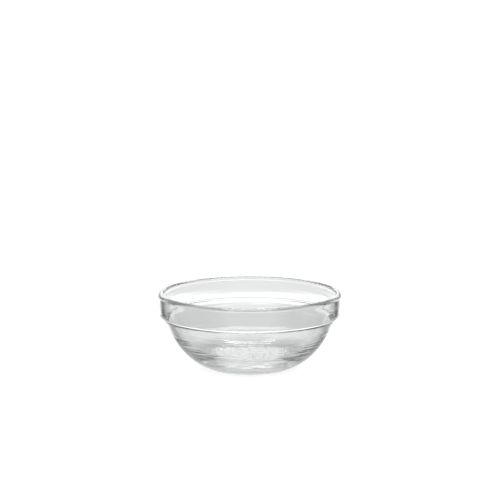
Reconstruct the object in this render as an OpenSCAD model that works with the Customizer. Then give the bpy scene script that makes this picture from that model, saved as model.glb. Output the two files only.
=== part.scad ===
// A clear glass prep bowl, pressed in one piece. A rounded lip tops an upright rim band, the band
// ends below in a step that rests on the next bowl of a stack, and a curved wall runs down to a
// thick base on a narrow flat foot ring. The hollow inside the ring carries a plain stipple.
// Lengths are millimetres and angles degrees. The origin is the middle of the foot, +Z is up.

/* [Overall] */
// Outer diameter at the lip
rim_d = 105; // [98:1:112]
// Height from the table to the top of the lip
bowl_h = 44; // [41:0.5:50]

/* [Lip] */
// Thickness of the glass across the lip
lip_t = 3.2; // [2.6:0.1:4]
// How far in from the outer edge the lip's crest lies
lip_crest = 2.2; // [1:0.1:2.4]
// Height over which the outside of the lip is rounded
lip_outer_h = 2.6; // [1.5:0.1:4]
// Height over which the inside of the lip is rounded
lip_inner_h = 1.6; // [1:0.1:3]
// How far the lip's bead stands out beyond the top of the band
bead = 0.1; // [0.05:0.05:0.3]
// Distance below the lip's rounding at which the bead has run out into the band
bead_run = 1.7; // [1:0.1:3]

/* [Rim band] */
// Height of the step under the band above the table
ledge_z = 30; // [28:0.5:33]
// Width of the step under the band
ledge_w = 1.85; // [1.6:0.05:2.6]
// Amount by which the outside of the band narrows from the bead to its lower edge
band_taper = 0.55; // [0.2:0.05:1]
// Radius of the band's lower edge
band_edge_r = 1.5; // [0.8:0.1:1.5]

/* [Wall] */
// Lean of the wall's straight upper part from upright
wall_flare = 27; // [24:1:30]
// Thickness of the wall
wall_t = 3.2; // [2.6:0.1:3.8]

/* [Foot] */
// How far in from the rim the outer edge of the flat foot ring lies
wall_reach = 29.8; // [28.4:0.2:30.6]
// Width of the foot ring
foot_ring = 1.2; // [0.8:0.1:2.6]
// Radius of the heel between the foot and the wall
heel_r = 1; // [0.5:0.5:4]
// Slope of the wall where it leaves the heel, from level
heel_rise = 21; // [18:0.5:25]

/* [Inside] */
// Amount by which the inside of the band narrows from the lip to the shoulder
band_draft = 0.5; // [0.2:0.1:0.8]
// Height of the shoulder's upper end above the step
shoulder_lift = 1.1; // [0.5:0.1:2]
// Slope of the shoulder from upright
shoulder_lean = 64; // [56:1:70]
// Radius at both ends of the shoulder
shoulder_r = 0.8; // [0.5:0.1:1.2]
// How far the level floor reaches out beyond the foot ring
floor_over = 2.8; // [0.4:0.1:4]
// Height of the floor above the table
floor_z = 7; // [5.5:0.1:8]
// Slope of the inside wall where it leaves the floor, from level
floor_rise = 22; // [15:1:26]

/* [Underside] */
// Depth of the hollow inside the foot ring
hollow_h = 0.8; // [0.5:0.05:1.2]
// Width of the hollow's sloping edge
hollow_edge = 1; // [0.5:0.1:2]
// Height of the stipple, less than the hollow's depth
stipple_h = 0.3; // [0.1:0.05:0.4]
// Diameter of one stipple dot
dot_d = 1.2; // [0.8:0.1:1.6]
// Number of dot rings round the middle dot
dot_rings = 5; // [2:1:5]
// Space from the middles of the outermost dots to the bars
dot_gap = 3.9; // [1.5:0.1:5]
// Number of short bars in the ring near the hollow's edge
bars = 36; // [12:2:48]
// Length of one bar
bar_l = 2.6; // [1.5:0.1:3]
// Width of one bar
bar_w = 0.8; // [0.5:0.1:1]
// Space from the bars' outer ends to the hollow's sloping edge
bar_gap = 2; // [1:0.1:2.5]

/* [Hidden] */
$fn = 128;
arc_steps = 8;
curve_steps = 24;
dots_per_ring_step = 6;

rim_r = rim_d / 2;
foot_r = rim_r - wall_reach;
floor_r = foot_r + floor_over;
hollow_r = foot_r - foot_ring;
ceiling_r = hollow_r - hollow_edge;
bars_r = ceiling_r - bar_gap - bar_l;
dot_pitch = (bars_r - dot_gap) / dot_rings;
crest_r = rim_r - lip_crest;
band_top_r = rim_r - bead;
band_low_r = band_top_r - band_taper;
band_in_r = rim_r - lip_t - band_draft;

function polar(r, a) = [r * cos(a), r * sin(a)];

// Points of an arc round a centre, both ends included
function arc(centre, r, from, to, steps) =
    [for (k = [0 : steps]) centre + polar(r, from + (to - from) * k / steps)];

// Points of a quarter ellipse with half axes r and h, from one angle to another
function oval(centre, r, h, from, to) =
    [for (k = [0 : arc_steps])
        let (a = from + (to - from) * k / arc_steps)
        centre + [r * cos(a), h * sin(a)]];

// Direction of a line that leans outwards from upright by an angle
function leaning(a) = [sin(a), cos(a)];

function cross2(a, b) = a[0] * b[1] - a[1] * b[0];

// Radius of the arc that leaves a start at a slope and runs out into the line through a target
// that leans by wall_flare
function curve_r(start, rise, target) =
    let (turn = polar(1, -wall_flare) - polar(1, rise - 90))
    cross2(target - start, leaning(wall_flare)) / cross2(turn, leaning(wall_flare));

// Points of that arc, from its start to where the straight part of the wall begins
function wall_curve(start, rise, target) =
    let (r = curve_r(start, rise, target))
    arc(start - polar(r, rise - 90), r, rise - 90, -wall_flare, curve_steps);

// Outside of the wall: heel, curve and straight flare up to the step
heel = arc([foot_r, heel_r], heel_r, -90, heel_rise - 90, arc_steps);
ledge_inner = [band_low_r - ledge_w, ledge_z];
wall_outside = wall_curve(heel[arc_steps], heel_rise, ledge_inner);

// Outside of the rim band, from its rounded lower edge up to the lip
band_edge = arc([band_low_r - band_edge_r, ledge_z + band_edge_r], band_edge_r, -90, 0, arc_steps);
bead_end = [band_top_r, bowl_h - lip_outer_h - bead_run];
lip_outside = oval([crest_r, bowl_h - lip_outer_h], lip_crest, lip_outer_h, 0, 90);
lip_inside = oval([crest_r, bowl_h - lip_inner_h], lip_t - lip_crest, lip_inner_h, 90, 180);

// Inside of the band, turning in at the shoulder and out again onto the wall
turn_in = arc([band_in_r - shoulder_r, ledge_z + shoulder_lift], shoulder_r,
    0, -shoulder_lean, arc_steps);
wall_inside_top = ledge_inner - polar(wall_t, -wall_flare);
// The centre of the second turn lies on a line beside the inside wall, one shoulder_r in the glass,
// and on a line beside the slope
slope = -leaning(shoulder_lean);
turn_out_base = turn_in[arc_steps] + polar(shoulder_r, -shoulder_lean);
turn_out_line = wall_inside_top + polar(shoulder_r, -wall_flare);
slope_l = cross2(turn_out_line - turn_out_base, leaning(wall_flare))
    / cross2(slope, leaning(wall_flare));
turn_out = arc(turn_out_base + slope * slope_l, shoulder_r,
    180 - shoulder_lean, 180 - wall_flare, arc_steps);

// Inside of the wall, from the floor's edge up
wall_inside = wall_curve([floor_r, floor_z], floor_rise, turn_out[arc_steps]);

outline = concat(
    [[0, hollow_h], [ceiling_r, hollow_h], [hollow_r, 0]],
    heel,
    wall_outside,
    [ledge_inner],
    band_edge,
    [bead_end],
    lip_outside,
    lip_inside,
    turn_in,
    turn_out,
    [for (k = [curve_steps : -1 : 0]) wall_inside[k]],
    [[0, floor_z]]
);

// Plan of the stipple: a middle dot, rings of dots round it and a ring of short radial bars
module stipple_plan() {
    circle(d = dot_d);
    for (ring = [1 : dot_rings], k = [0 : dots_per_ring_step * ring - 1])
        rotate(360 * k / (dots_per_ring_step * ring))
            translate([ring * dot_pitch, 0])
                circle(d = dot_d);
    for (k = [0 : bars - 1])
        rotate(360 * k / bars)
            translate([bars_r, -bar_w / 2])
                square([bar_l, bar_w]);
}

// The stipple hangs from the hollow's ceiling and is rooted in the base
module glass_bowl() {
    color([0.86, 0.89, 0.88, 0.45]) {
        rotate_extrude()
            polygon(outline);
        translate([0, 0, hollow_h - stipple_h])
            linear_extrude(height = 2 * stipple_h)
                stipple_plan();
    }
}

glass_bowl();
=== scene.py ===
# %% [markdown]
# # A pressed-glass prep bowl
# The bowl is one piece of clear glass: a rounded lip, an upright rim band that ends in a small
# step, a curved wall and a thick base on a narrow foot ring. Glass has hardly any colour of its
# own. What the eye reads is its outline, bent light and reflections, so this lesson spends its
# care on a clean closed skin, a sound glass shader and a studio with something to bend.

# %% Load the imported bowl
import math

import bmesh
import bpy
from mathutils import Matrix, Vector


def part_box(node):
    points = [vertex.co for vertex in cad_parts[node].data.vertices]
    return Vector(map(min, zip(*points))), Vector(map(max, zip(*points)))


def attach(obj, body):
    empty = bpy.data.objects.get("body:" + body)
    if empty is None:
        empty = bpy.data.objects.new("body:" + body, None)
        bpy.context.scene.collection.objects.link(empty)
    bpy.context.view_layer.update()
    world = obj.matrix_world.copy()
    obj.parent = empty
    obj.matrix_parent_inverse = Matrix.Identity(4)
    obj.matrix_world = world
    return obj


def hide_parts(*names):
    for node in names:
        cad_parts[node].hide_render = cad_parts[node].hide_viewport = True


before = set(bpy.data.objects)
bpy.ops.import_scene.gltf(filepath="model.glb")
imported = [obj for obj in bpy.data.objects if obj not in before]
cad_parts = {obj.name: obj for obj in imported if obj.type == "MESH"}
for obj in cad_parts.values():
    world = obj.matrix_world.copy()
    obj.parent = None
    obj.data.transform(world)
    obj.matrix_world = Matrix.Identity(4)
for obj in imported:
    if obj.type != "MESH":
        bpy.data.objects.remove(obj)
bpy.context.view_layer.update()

MM = 0.001
box_low, box_high = (Vector(corner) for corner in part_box("glass_bowl"))
rim_r = (box_high.x - box_low.x) / 2
bowl_h = box_high.z - box_low.z
print("bowl in the frame:", round(2 * rim_r / MM, 2), "mm across,",
      round(bowl_h / MM, 2), "mm high")

# %% [markdown]
# ## The camera
# The photograph was taken with a long lens from a little above the rim. A far camera with a
# narrow view keeps the ellipses of rim and foot alike, which a near one would not. The angle
# above level comes from how open the rim's ellipse is. The lens points a little above the bowl,
# which puts the bowl below the middle of the picture, where the photograph has it.

# %% Place the camera
IMAGE_PX = 500
SENSOR_MM = 36
CAMERA_DISTANCE = 2.0
CAMERA_ABOVE = math.radians(11.68)
PIXELS_PER_RADIAN = 3477.3
FOOT_ROW = 367.0
CENTRE_OFFSET = 0.18 * MM

camera_data = bpy.data.cameras.new("camera")
camera_data.sensor_width = SENSOR_MM
camera_data.lens = PIXELS_PER_RADIAN * SENSOR_MM / IMAGE_PX
camera = bpy.data.objects.new("camera", camera_data)
camera.location = (
    CENTRE_OFFSET,
    -CAMERA_DISTANCE * math.cos(CAMERA_ABOVE),
    CAMERA_DISTANCE * math.sin(CAMERA_ABOVE),
)
look_down = CAMERA_ABOVE - math.atan((FOOT_ROW - IMAGE_PX / 2) / PIXELS_PER_RADIAN)
camera.rotation_euler = (math.pi / 2 - look_down, 0, 0)
bpy.context.collection.objects.link(camera)
bpy.context.scene.camera = camera
print("lens", round(camera_data.lens, 1), "mm, looking down", round(math.degrees(look_down), 2),
      "degrees")

# %% [markdown]
# ## A small kit for shader maths
# A shader is easiest to read as an expression. `Sock` wraps one output socket, and its
# operators add Math nodes, so `1 - mask * 0.5` builds the nodes it names. Any other node comes
# from `Shader.node`, which takes the node's type, its settings and its inputs.

# %% Wrap sockets in a class


class Sock:
    def __init__(self, shader, socket):
        self.shader, self.socket = shader, socket

    def math(self, operation, *values):
        node = self.shader.node("Math", {"operation": operation}, dict(enumerate((self, *values))))
        return node.out()

    def __add__(self, other):
        return self.math("ADD", other)

    def __mul__(self, other):
        return self.math("MULTIPLY", other)

    def __sub__(self, other):
        return self.math("SUBTRACT", other)

    def __rsub__(self, other):
        return self.math("MULTIPLY_ADD", -1, other)


class Made:
    def __init__(self, shader, node):
        self.shader, self.node = shader, node

    def out(self, name=0):
        return Sock(self.shader, self.node.outputs[name])


class Shader:
    def __init__(self, holder):
        holder.use_nodes = True
        self.tree = holder.node_tree
        self.tree.nodes.clear()

    def node(self, kind, settings=None, inputs=None):
        prefix = "" if kind.startswith("ShaderNode") else "ShaderNode"
        node = self.tree.nodes.new(prefix + kind)
        for name, value in (settings or {}).items():
            setattr(node, name, value)
        for name, value in (inputs or {}).items():
            if isinstance(value, Sock):
                self.tree.links.new(value.socket, node.inputs[name])
            else:
                node.inputs[name].default_value = value
        return Made(self, node)


def between(shader, value, low, high):
    """A soft mask: 0 below low, 1 above high."""
    return shader.node("MapRange", {"interpolation_type": "SMOOTHSTEP"},
                       {"Value": value, "From Min": low, "From Max": high}).out()


# %% [markdown]
# ## The studio
# A clear bowl shows little but the room around it, so the room is built with care. The table and
# the room look two ways: the camera sees plain white, and the rays that come out of the glass see
# brighter and darker zones. In the room these are a bright panel and grey cloth; on the table they
# are painted glow and painted shade, where a photographer would use a lit table and dark cards.

# %% Tell the rays apart


def ray_kinds(shader):
    """Masks of the rays that leave the camera and of those that come out of the glass."""
    path = shader.node("LightPath")
    bent = path.out("Is Glossy Ray").math("MAXIMUM", path.out("Is Transmission Ray"))
    return path.out("Is Camera Ray"), bent


# %% [markdown]
# The table is one flat face, a hair below the foot so that the two don't fight for the same
# place.

# %% Lay the table
TABLE_DROP = 0.2 * MM
TABLE_HALF = 2.5
table_mesh = bpy.data.meshes.new("table")
bm = bmesh.new()
bmesh.ops.create_grid(bm, x_segments=1, y_segments=1, size=TABLE_HALF,
                      matrix=Matrix.Translation((0, 0, -TABLE_DROP)))
bm.to_mesh(table_mesh)
bm.free()
table = bpy.data.objects.new("table", table_mesh)
bpy.context.collection.objects.link(table)
print("table", 2 * TABLE_HALF, "m wide")

# %% [markdown]
# Zones of light need soft edges, or they show as shapes of their own in the glass. Two helpers
# draw them: a ring round the bowl, and an oval anywhere on the table.

# %% Draw soft rings and ovals


def ring(shader, distance, begin, full, fade, end):
    """A soft ring, which rises from begin to full and falls from fade to end."""
    return between(shader, distance, begin, full) * (1 - between(shader, distance, fade, end))


def oval(shader, position, middle, half, inner, outer):
    """A soft oval: 1 within the share inner of its half widths, 0 beyond the share outer."""
    scaled = shader.node("Mapping", {"vector_type": "TEXTURE"}, {
        "Vector": position, "Location": (*middle, 0), "Scale": (*half, 1)}).out()
    away = shader.node("VectorMath", {"operation": "LENGTH"}, {0: scaled}).out("Value")
    return 1 - between(shader, away, inner, outer)


# %% [markdown]
# The table is pale and plain, and keeps the bowl's soft shadow. In the glass it shows painted
# light: a painted glow in a pool under the base and in two rings further out, against which the
# shoulder and the far wall are seen, and painted shade in soft ovals beside the bowl. White glass
# on white would vanish, but the lip and the ends of the band bend these painted shade ovals into
# grey lines. Each oval is given for the right side, and the table is folded on the middle line, so
# that the left has its twin.

# %% Place the bright and dark zones
GLOW_IN_GLASS = 0.62
# in metres: a ring's begin, full, fade and end, and an oval's middle and half widths
POOL_GLOW, POOL_HALF, POOL_EDGE = 0.42, (0.026, 0.026), (0.7, 1.3)
NEAR_RING_GLOW, NEAR_RING = 0.35, (0.062, 0.072, 0.100, 0.112)
FAR_RING_GLOW, FAR_RING = 0.40, (0.19, 0.21, 0.24, 0.265)
FLANK_SHADE, FLANK_LEAN, FLANK_EDGE = 0.25, 0.4, (0.045, 0.085)
OVAL_EDGE = (0.6, 1.3)
LIP_OVAL_SHADE, LIP_OVAL = 0.65, ((0.087, 0.012), (0.032, 0.062))
BAND_OVAL_SHADE, BAND_OVAL = 0.85, ((0.160, 0.125), (0.045, 0.080))

table_paint = bpy.data.materials.new("pale_table")
sh = Shader(table_paint)
place = sh.node("TexCoord").out("Object")
from_bowl = sh.node("VectorMath", {"operation": "LENGTH"}, {0: place}).out("Value")
parts = sh.node("SeparateXYZ", inputs={"Vector": place})
aside, behind = parts.out("X").math("ABSOLUTE"), parts.out("Y")
folded = sh.node("CombineXYZ", inputs={"X": aside, "Y": behind}).out()
# painted glow, seen only from the glass: a pool under the bowl and two rings
painted_glow = (ring(sh, from_bowl, *FAR_RING) * FAR_RING_GLOW
       + ring(sh, from_bowl, *NEAR_RING) * NEAR_RING_GLOW
       + oval(sh, place, (0, 0), POOL_HALF, *POOL_EDGE) * POOL_GLOW + GLOW_IN_GLASS)
# painted shade, seen only from the glass: the flanks and four soft ovals
flank = between(sh, aside - behind.math("ABSOLUTE") * FLANK_LEAN, *FLANK_EDGE)
left_by_painted_shade = ((1 - flank * FLANK_SHADE)
        * (1 - oval(sh, folded, *LIP_OVAL, *OVAL_EDGE) * LIP_OVAL_SHADE)
        * (1 - oval(sh, folded, *BAND_OVAL, *OVAL_EDGE) * BAND_OVAL_SHADE))
print("a pool, two rings and four ovals on the table")

# %% Paint the table
TABLE_ALBEDO = 0.4
GLOW_FOR_CAMERA = 0.82
to_camera, bent = ray_kinds(sh)
# for rays from the glass, the painted shade darkens the table's colour and the painted glow lights
# it
paint = sh.node("BsdfDiffuse", inputs={"Color": (1 - bent * (1 - left_by_painted_shade)) * TABLE_ALBEDO})
glow = sh.node("Emission", inputs={"Color": to_camera * GLOW_FOR_CAMERA + bent * painted_glow * left_by_painted_shade})
both = sh.node("AddShader", inputs={0: paint.out(), 1: glow.out()})
sh.node("OutputMaterial", inputs={"Surface": both.out()})
table_mesh.materials.append(table_paint)
print("table paint:", len(table_paint.node_tree.nodes), "nodes")

# %% [markdown]
# The room is a white tent, which lights the table evenly. Behind the bowl hangs a bright panel,
# brightest low down, which makes the rims and ledges sparkle. Both sides are grey cloth, which
# shades the bowl's flanks. The room is a sphere without end, so a place in it is two angles: the
# climb above level, and the degrees round from the camera, which end at 180 behind the bowl. The
# panel's range runs past that, so it has no edge there.

# %% Light the room
ROOM_FILL = 0.85
PANEL_ROUND, PANEL_EDGE = (150, 200), 3
PANEL_LOW, PANEL_HIGH = (8, 22), (22, 40)
PANEL_LOW_GLOW, PANEL_HIGH_GLOW = 1.4, 0.6
CLOTH_ROUND, CLOTH_CLIMB, CLOTH_EDGE, CLOTH_SHADE = (50, 150), (-8, 60), 8, 0.85

room = bpy.data.worlds.new("room")
bpy.context.scene.world = room
sh = Shader(room)
way = sh.node("SeparateXYZ", inputs={"Vector": sh.node("TexCoord").out("Generated")})
east, north, up = way.out("X"), way.out("Y"), way.out("Z")
climb = up.math("ARCSINE") * math.degrees(1)
round_from_camera = east.math("ARCTAN2", north * -1).math("ABSOLUTE") * math.degrees(1)


def patch(climbs, rounds, edge):
    """A soft-edged patch of the room between two climbs and two angles round from the camera."""
    up_and_down, sideways = (
        ring(sh, angle, low - edge, low + edge, high - edge, high + edge)
        for angle, (low, high) in ((climb, climbs), (round_from_camera, rounds)))
    return up_and_down * sideways


panel = (patch(PANEL_LOW, PANEL_ROUND, PANEL_EDGE) * PANEL_LOW_GLOW
         + patch(PANEL_HIGH, PANEL_ROUND, PANEL_EDGE) * PANEL_HIGH_GLOW)
cloth = patch(CLOTH_CLIMB, CLOTH_ROUND, CLOTH_EDGE) * CLOTH_SHADE
to_camera, bent = ray_kinds(sh)
rest_to_white = 1 - ROOM_FILL
strength = to_camera * rest_to_white + bent * (panel - cloth + rest_to_white) + ROOM_FILL
back = sh.node("Background", inputs={"Color": (1, 1, 1, 1), "Strength": strength})
sh.node("OutputWorld", inputs={"Surface": back.out()})
print("room:", len(room.node_tree.nodes), "nodes, fill", ROOM_FILL)

# %% [markdown]
# A long strip lamp above and behind the bowl draws the thin white arc under the ledge. A square
# lamp would show in the wall as a window. Its power follows from how bright its face should be,
# so that its size can change without changing its look.

# %% Hang the strip lamp
LAMP_SIZE = (0.8, 0.1)
LAMP_RADIANCE = 10.0
LAMP_SPOT = (0, 0.4, 1.1)
lamp_data = bpy.data.lights.new("strip_lamp", "AREA")
lamp_data.shape = "RECTANGLE"
lamp_data.size, lamp_data.size_y = LAMP_SIZE
lamp_data.energy = LAMP_RADIANCE * math.pi * lamp_data.size * lamp_data.size_y
lamp = bpy.data.objects.new("strip_lamp", lamp_data)
lamp.location = LAMP_SPOT
lamp.rotation_euler = (-Vector(LAMP_SPOT)).to_track_quat("-Z", "Y").to_euler()
bpy.context.collection.objects.link(lamp)
print("strip lamp", round(lamp_data.energy, 2), "W")

# %% [markdown]
# ## Drawing the outline
# A pressed bowl is turned in the mould, so half a cross-section tells its whole shape. It is
# drawn here as a draughtsman would: straight lines with `extrude_vert_indiv`, and round
# stretches with `spin`, which swings a point about a centre like a compass. Arcs stay true arcs,
# and their count of steps can be raised without typing a point.

# %% A pen that draws lines and arcs
ACROSS = Vector((0, -1, 0))


class Pen:
    """Draws a chain of edges in the plane y = 0, from the axis outwards."""

    def __init__(self, bm, x, z):
        self.bm = bm
        self.tip = bm.verts.new((x, 0, z))

    def line(self, x, z, steps=1):
        start = self.tip.co.copy()
        for k in range(steps):
            grown = bmesh.ops.extrude_vert_indiv(self.bm, verts=[self.tip])
            self.tip = grown["verts"][0]
            self.tip.co = start.lerp(Vector((x, 0, z)), (k + 1) / steps)

    def arc(self, centre_x, centre_z, degrees, steps):
        """Swings the tip about a centre, anticlockwise from the front, and gives the points."""
        before = set(self.bm.verts)
        grown = bmesh.ops.spin(self.bm, geom=[self.tip], cent=(centre_x, 0, centre_z), axis=ACROSS,
                               angle=math.radians(degrees), steps=steps, use_merge=False)
        self.tip = next(e for e in grown["geom_last"] if isinstance(e, bmesh.types.BMVert))
        return [v for v in self.bm.verts if v not in before]


# %% [markdown]
# The sizes are the real ones, in millimetres, and the whole drawing is scaled to the bowl in
# the frame, so it fits that box exactly.

# %% The bowl's sizes
RIM_R, BOWL_H = 52.5, 44.0
SCALE = rim_r / RIM_R
LIP_T, LIP_CREST, LIP_OUTER_H, LIP_INNER_H = 3.2, 2.2, 2.6, 1.6
BEAD, BEAD_RUN = 0.1, 1.7
LEDGE_Z, LEDGE_W, BAND_TAPER, BAND_EDGE_R = 30.0, 1.85, 0.55, 1.5
WALL_FLARE, WALL_T = 27.0, 3.2
FOOT_R, HEEL_R, HEEL_RISE = 22.7, 1.0, 21.0
BAND_DRAFT, SHOULDER_LIFT, SHOULDER_LEAN, SHOULDER_R = 0.5, 1.1, 64.0, 0.8
FLOOR_R, FLOOR_Z, FLOOR_RISE = 25.5, 7.0, 22.0
FLOOR_ROUND = 3.0
HOLLOW_R, HOLLOW_H, HOLLOW_EDGE = 21.5, 0.8, 1.0


def leaning(degrees):
    """Direction of a line that leans outwards from upright."""
    return Vector((math.sin(math.radians(degrees)), math.cos(math.radians(degrees))))


def polar(radius, degrees):
    angle = math.radians(degrees)
    return Vector((radius * math.cos(angle), radius * math.sin(angle)))


def wall_radius(start, rise, target):
    """Radius of the arc that leaves start at a slope and runs out into the flare through target."""
    flare = leaning(WALL_FLARE)
    turn = polar(1, -WALL_FLARE) - polar(1, rise - 90)
    return (target - start).cross(flare) / turn.cross(flare)


print("scale", round(SCALE, 6), "flare", WALL_FLARE, "degrees")

# %% [markdown]
# The pen starts at the axis under the base, goes out over the hollow to the foot, up the
# outside, over the lip and back down the inside to the axis. The underside of the base is drawn
# with many steps, because its stipple is pressed into it afterwards.

# %% Draw the underside and the outside of the wall
UNDERSIDE_STEPS, HEEL_STEPS, WALL_STEPS, TURN_STEPS, LIP_STEPS = 62, 4, 32, 8, 20
bowl_mesh = bpy.data.meshes.new("prep_bowl")
bm = bmesh.new()
pen = Pen(bm, 0, HOLLOW_H)
ceiling_r = HOLLOW_R - HOLLOW_EDGE
pen.line(ceiling_r, HOLLOW_H, steps=UNDERSIDE_STEPS)
pen.line(HOLLOW_R, 0, steps=2)
pen.line(FOOT_R, 0, steps=2)

# heel, curved wall and straight flare
pen.arc(FOOT_R, HEEL_R, HEEL_RISE, steps=HEEL_STEPS)
ledge_inner = Vector((RIM_R - BEAD - BAND_TAPER - LEDGE_W, LEDGE_Z))
heel_end = Vector((pen.tip.co.x, pen.tip.co.z))
outer_r = wall_radius(heel_end, HEEL_RISE, ledge_inner)
centre = heel_end - polar(outer_r, HEEL_RISE - 90)
pen.arc(centre.x, centre.y, 90 - WALL_FLARE - HEEL_RISE, steps=WALL_STEPS)
pen.line(ledge_inner.x, ledge_inner.y, steps=6)
print("outer wall radius", round(outer_r, 2), "mm")

# %% [markdown]
# The lip is a quarter ellipse on each side of its crest. A compass draws only circles, so each
# quarter is swung as a circle and then squeezed in height with `scale`.

# %% Draw the step, the band and the lip
band_low_r = RIM_R - BEAD - BAND_TAPER
pen.line(band_low_r - BAND_EDGE_R, LEDGE_Z)
pen.arc(band_low_r - BAND_EDGE_R, LEDGE_Z + BAND_EDGE_R, 90, steps=TURN_STEPS)
pen.line(RIM_R - BEAD, BOWL_H - LIP_OUTER_H - BEAD_RUN, steps=6)
pen.line(RIM_R, BOWL_H - LIP_OUTER_H, steps=2)


def squeeze(verts, centre_z, up):
    """Turns a swung quarter circle into a quarter ellipse."""
    bmesh.ops.scale(bm, vec=(1, 1, up), verts=verts, space=Matrix.Translation((0, 0, -centre_z)))


crest_r = RIM_R - LIP_CREST
swung = pen.arc(crest_r, BOWL_H - LIP_OUTER_H, 90, steps=LIP_STEPS)
squeeze(swung, BOWL_H - LIP_OUTER_H, LIP_OUTER_H / LIP_CREST)
inner_w = LIP_T - LIP_CREST
swung = pen.arc(crest_r, BOWL_H - inner_w, 90, steps=LIP_STEPS)
squeeze(swung, BOWL_H, LIP_INNER_H / inner_w)
print("outline so far:", len(bm.verts), "points, crest at",
      round(max(v.co.z for v in bm.verts), 3))

# %% [markdown]
# Inside, the band ends in a shoulder that turns in and out again, opposite the step. Its lower
# turn touches both the slope and the wall, so its centre is where two lines beside them cross.

# %% Draw the inside of the band and the shoulder
band_in_r = RIM_R - LIP_T - BAND_DRAFT
shoulder_z = LEDGE_Z + SHOULDER_LIFT
pen.line(band_in_r, shoulder_z, steps=8)
pen.arc(band_in_r - SHOULDER_R, shoulder_z, -SHOULDER_LEAN, steps=TURN_STEPS)
turn_in_end = Vector((pen.tip.co.x, pen.tip.co.z))
slope = -leaning(SHOULDER_LEAN)
flare = leaning(WALL_FLARE)
turn_out_base = turn_in_end + polar(SHOULDER_R, -SHOULDER_LEAN)
turn_out_line = ledge_inner - polar(WALL_T, -WALL_FLARE) + polar(SHOULDER_R, -WALL_FLARE)
slope_l = (turn_out_line - turn_out_base).cross(flare) / slope.cross(flare)
slope_end = turn_in_end + slope * slope_l
pen.line(slope_end.x, slope_end.y, steps=2)
turn_out = turn_out_base + slope * slope_l
pen.arc(turn_out.x, turn_out.y, SHOULDER_LEAN - WALL_FLARE, steps=TURN_STEPS)
print("shoulder ends", round(pen.tip.co.z, 2), "mm high")

# %% [markdown]
# The inside wall curves down to the floor. A small round, which touches both, joins them,
# because molten glass leaves no crease there.

# %% Draw the inside of the wall and the floor
shoulder_end = Vector((pen.tip.co.x, pen.tip.co.z))
floor_edge = Vector((FLOOR_R, FLOOR_Z))
inner_r = wall_radius(floor_edge, FLOOR_RISE, shoulder_end)
centre = floor_edge - polar(inner_r, FLOOR_RISE - 90)
curve_top = centre + polar(inner_r, -WALL_FLARE)
pen.line(curve_top.x, curve_top.y, steps=4)
round_centre_z = FLOOR_Z + FLOOR_ROUND
round_centre_x = centre.x + math.sqrt(
    (inner_r - FLOOR_ROUND) ** 2 - (round_centre_z - centre.y) ** 2)
touch = math.degrees(math.atan2(centre.y - round_centre_z, round_centre_x - centre.x))
pen.arc(centre.x, centre.y, -(touch - WALL_FLARE), steps=WALL_STEPS)
pen.arc(round_centre_x, round_centre_z, -(90 - touch), steps=TURN_STEPS)
pen.line(0, FLOOR_Z, steps=12)
print("outline:", len(bm.verts), "points, inner wall radius", round(inner_r, 2), "mm")

# %% [markdown]
# The outline is spun through a quarter turn, and the quarter is mirrored twice, which is quicker
# than a full spin. Merging doubles closes the seams and the poles on the axis, and the mirrored
# parts are inside out until the normals are recalculated.

# %% Spin the bowl
QUARTER_STEPS = 90
MERGE_MM = 0.0005
bmesh.ops.spin(bm, geom=bm.verts[:] + bm.edges[:], cent=(0, 0, 0), axis=(0, 0, 1),
               angle=math.pi / 2, steps=QUARTER_STEPS, use_merge=False)
for axis in ("X", "Y"):
    bmesh.ops.mirror(bm, geom=bm.verts[:] + bm.edges[:] + bm.faces[:], matrix=Matrix.Identity(4),
                     merge_dist=MERGE_MM, axis=axis)
bmesh.ops.remove_doubles(bm, verts=bm.verts, dist=MERGE_MM)
bmesh.ops.recalc_face_normals(bm, faces=bm.faces)
open_edges = [e for e in bm.edges if len(e.link_faces) != 2]
print("bowl skin:", len(bm.verts), "points,", len(bm.faces), "faces,",
      len(open_edges), "open edges")

# %% [markdown]
# ## The stipple underneath
# The hollow under the base is not smooth: low round dots and a ring of short bars keep the hot
# bowl off the belt it is made on. They are pressed into the same skin. The spin left a fine
# polar grid there, so a dot is made by letting down the points within its radius.

# %% Press the stipple
STIPPLE_H, DOT_D, DOT_RINGS, DOT_PITCH = 0.3, 1.2, 5, 2.4
BARS, BAR_L, BAR_W, BARS_R = 36, 2.6, 0.8, 15.9
DOTS_PER_RING_STEP = 6


def dome(away, half_width):
    """Height of a low dome at a distance from its middle line."""
    return STIPPLE_H * math.sqrt(1 - (away / half_width) ** 2) if away < half_width else 0.0


def turned(spot, count):
    """Angle of the nearest of a count of places that are spread evenly round the axis."""
    step = math.tau / count
    return round(math.atan2(spot.y, spot.x) / step) * step


def dot_depth(spot):
    """How far the nearest dot of the rings hangs down here."""
    row = min(round(spot.length / DOT_PITCH), DOT_RINGS)
    around = turned(spot, max(1, DOTS_PER_RING_STEP * row))
    middle = Vector((math.cos(around), math.sin(around))) * row * DOT_PITCH
    return dome((spot - middle).length, DOT_D / 2)


def bar_depth(spot):
    """The same for the ring of bars, whose ends and flanks are rounded."""
    off = abs(math.atan2(spot.y, spot.x) - turned(spot, BARS)) * spot.length
    past = max(BARS_R - spot.length, spot.length - BARS_R - BAR_L, 0.0)
    return dome(math.hypot(off, past), BAR_W / 2)


NEAR_MM = 0.001
pressed = 0
for vert in bm.verts:
    spot = Vector((vert.co.x, vert.co.y))
    if abs(vert.co.z - HOLLOW_H) < NEAR_MM and spot.length < ceiling_r - NEAR_MM:
        depth = dot_depth(spot) if spot.length < BARS_R - BAR_W else bar_depth(spot)
        vert.co.z -= depth
        pressed += depth > 0
dots = 1 + sum(DOTS_PER_RING_STEP * row for row in range(1, DOT_RINGS + 1))
print(dots, "dots and", BARS, "bars,", pressed, "points moved")

# %% [markdown]
# Smooth shading hides the facets, and the few real edges, such as the step's inner corner, are
# marked sharp by their angle.

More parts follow.
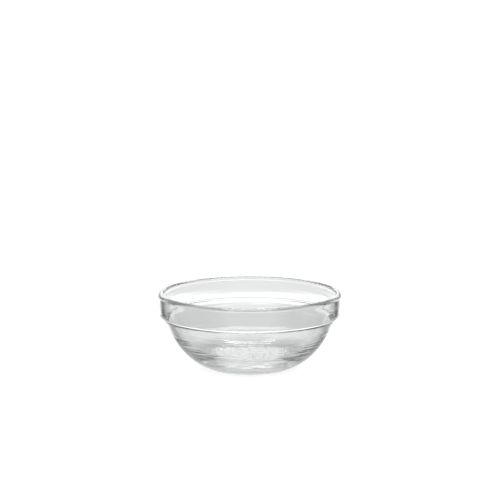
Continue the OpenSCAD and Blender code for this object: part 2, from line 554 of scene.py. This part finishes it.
# %% Finish the mesh
SHARP_FROM = math.radians(40)
for face in bm.faces:
    face.smooth = True
bmesh.ops.scale(bm, vec=(SCALE, SCALE, SCALE), verts=bm.verts)
bm.to_mesh(bowl_mesh)
bm.free()
bowl_mesh.set_sharp_from_angle(angle=SHARP_FROM)
bowl = bpy.data.objects.new("prep_bowl", bowl_mesh)
bpy.context.collection.objects.link(bowl)
print("bowl mesh:", [round(d / MM, 2) for d in bowl.dimensions], "mm")

# %% [markdown]
# ## Clear pressed glass
# Light goes through the glass, bends by its index of 1.52 and loses a little at each skin and
# more along its path, so thick places look deeper. What varies over the skin is found from two
# measures of the place: its height above the table and its distance from the bowl's axis.

# %% Measure the places on the skin
glass = bpy.data.materials.new("clear_pressed_glass")
sh = Shader(glass)
place = sh.node("TexCoord").out("Object")
parts = sh.node("SeparateXYZ", inputs={"Vector": place})
height, east, north = parts.out("Z"), parts.out("X"), parts.out("Y")
from_axis = (east * east + north * north).math("SQRT")


def noise(position, scale, detail, roughness):
    """Smooth random values from 0 to 1, which change about scale times over a length of 1."""
    return sh.node("TexNoise", {"noise_dimensions": "3D"}, {
        "Vector": position, "Scale": scale, "Detail": detail, "Roughness": roughness}).out("Fac")


# %% [markdown]
# The mould leaves its touch: faint flow rings that run round the wall and bend what is seen
# through it into streaks. They are noise that is stretched round the bowl and fine along its
# height, over a broad swell. They are a bump, since they are far too low for geometry.

# %% Make the flow rings
RINGS_ROUND, RINGS_UP = 14, 350
WALL_START, WALL_FADE, WALL_FADE_SHARE = (2 * MM, 8 * MM), (22 * MM, 30 * MM), 0.85
SWELL_PER_M, SWELL_SHARE = 55, 0.4
FLOW_DEPTH = 0.26 * MM
stretched = sh.node("Mapping", {"vector_type": "POINT"}, {
    "Vector": place, "Scale": (RINGS_ROUND, RINGS_ROUND, RINGS_UP)}).out()
rings = noise(stretched, scale=1, detail=2, roughness=0.45)
swell = noise(place, SWELL_PER_M, detail=1, roughness=0.4)
wall_mask = (between(sh, height, *WALL_START)
             * (1 - between(sh, height, *WALL_FADE) * WALL_FADE_SHARE))
flow = sh.node("Bump", inputs={"Strength": 1.0, "Distance": FLOW_DEPTH,
                               "Height": rings * wall_mask + swell * SWELL_SHARE})
print("flow rings: one in", round(1000 / RINGS_UP, 1), "mm")

# %% [markdown]
# The mould's bottom is coarser, which leaves a fine grain on the hollow and its stipple. It
# sparkles through the base. Tables have dulled the foot ring, so it is a little rough.

# %% Make the grain and the wear
GRAIN_PER_M = 450
GRAIN_DEPTH = 0.4 * MM
GRAIN_CEILING, GRAIN_RIM = (0.85 * MM, 1.1 * MM), (18.5 * MM, 20.0 * MM)
FOOT_HEIGHT, FOOT_INNER = (0.1 * MM, 0.4 * MM), (20.8 * MM, 21.3 * MM)
FOOT_ROUGHNESS, GRAIN_ROUGHNESS = 0.12, 0.04
grain_mask = ((1 - between(sh, height, *GRAIN_CEILING))
              * (1 - between(sh, from_axis, *GRAIN_RIM)))
grain = noise(place, GRAIN_PER_M, detail=1, roughness=0.5)
skin = sh.node("Bump", inputs={"Strength": 1.0, "Distance": GRAIN_DEPTH,
                               "Height": grain * grain_mask, "Normal": flow.out()})
foot_mask = (1 - between(sh, height, *FOOT_HEIGHT)) * between(sh, from_axis, *FOOT_INNER)
roughness = foot_mask * FOOT_ROUGHNESS + grain_mask * GRAIN_ROUGHNESS
print("grain: one in", round(1000 / GRAIN_PER_M, 1), "mm")

# %% [markdown]
# The skin has a light grey of its own, which varies a little with the swell of the glass. On the
# crest of the lip and on the heel round the foot, shade is painted into that colour as a deeper
# grey.

# %% Tint the skin and paint shade on the lip and heel
TINT_LOW, TINT_HIGH = (0.785, 0.792, 0.792, 1), (0.815, 0.820, 0.820, 1)
PAINTED_SHADE_GREY = (0.22, 0.225, 0.225, 1)
LIP_PAINTED_SHADE, LIP_CREST_HEIGHT = 0.12, (42.0 * MM, 43.4 * MM)
HEEL_PAINTED_SHADE, HEEL_HEIGHT, HEEL_INNER = 0.75, (3.0 * MM, 6.8 * MM), (20.5 * MM, 21.5 * MM)
COLOUR = 2  # the place of a Mix node's colour among its outputs
tint = sh.node("Mix", {"data_type": "RGBA"},
               {"Factor": swell, "A": TINT_LOW, "B": TINT_HIGH}).out(COLOUR)
# painted shade: the crest of the lip and the heel round the foot are mixed towards a deeper grey
lip_painted_shade_mask = between(sh, height, *LIP_CREST_HEIGHT)
heel_painted_shade_mask = (1 - between(sh, height, *HEEL_HEIGHT)) * between(sh, from_axis, *HEEL_INNER)
tint = sh.node("Mix", {"data_type": "RGBA"}, {
    "Factor": lip_painted_shade_mask * LIP_PAINTED_SHADE + heel_painted_shade_mask * HEEL_PAINTED_SHADE, "A": tint, "B": PAINTED_SHADE_GREY}).out(COLOUR)

# %% Put the glass together
GLASS_IOR = 1.52
DEPTH_COLOUR, DEPTH_DENSITY = (0.50, 0.54, 0.52, 1), 6.0
surface = sh.node("BsdfPrincipled", inputs={
    "Base Color": tint, "Roughness": roughness, "IOR": GLASS_IOR,
    "Transmission Weight": 1.0, "Normal": skin.out()})
depth = sh.node("VolumeAbsorption", inputs={"Color": DEPTH_COLOUR, "Density": DEPTH_DENSITY})
sh.node("OutputMaterial", inputs={"Surface": surface.out(), "Volume": depth.out()})
bowl_mesh.materials.append(glass)
print("glass:", len(glass.node_tree.nodes), "nodes")

# %% [markdown]
# The light in thick glass bounces many times before it leaves, so the path needs more bends
# than the default allows. Then the bowl takes its node's place in the frame.

# %% Hand the bowl over
BOUNCES = 24
scene = bpy.context.scene
scene.cycles.max_bounces = BOUNCES
scene.cycles.transmission_bounces = BOUNCES
scene.cycles.glossy_bounces = BOUNCES
scene.view_settings.view_transform = "Standard"
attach(bowl, "root")
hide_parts("glass_bowl")
